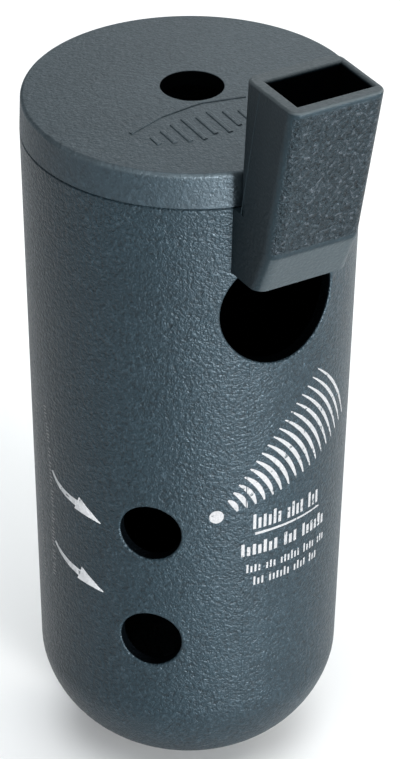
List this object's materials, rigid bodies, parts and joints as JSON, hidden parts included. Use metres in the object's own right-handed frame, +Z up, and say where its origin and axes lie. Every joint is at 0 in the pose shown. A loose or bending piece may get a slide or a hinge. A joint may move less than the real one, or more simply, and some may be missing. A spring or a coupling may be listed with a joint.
{
  "type": "hoot flute owl call",
  "caption": "Hand-held vessel flute game call: domed barrel, glued cap with a tone hole, side mouthpiece over a sound window, and finger holes.",
  "frame": {"origin": "centre of the small flat foot under the domed end, on the barrel's axis", "axes": "+Z up the barrel's axis towards the cap, -Y the way the mouthpiece faces, +X to the right of someone who looks along +Y"},
  "size_m": [0.05, 0.0644, 0.1256],
  "materials": {
    "barrel_plastic": "dark slate injection-moulded plastic with a fine spark-eroded satin grain",
    "cap_plastic": "dark slate moulded plastic, finer satin grain",
    "mouthpiece_plastic": "dark slate moulded plastic, heavy grain on the front face and smooth satin sides",
    "print_ink": "thin pad-printed light grey ink"
  },
  "bodies": {
    "root": {"barrel": "barrel_plastic", "cap": "cap_plastic", "mouthpiece_cover": "mouthpiece_plastic", "mouthpiece_back": "mouthpiece_plastic", "windway_block": "mouthpiece_plastic"}
  },
  "joints": []
}
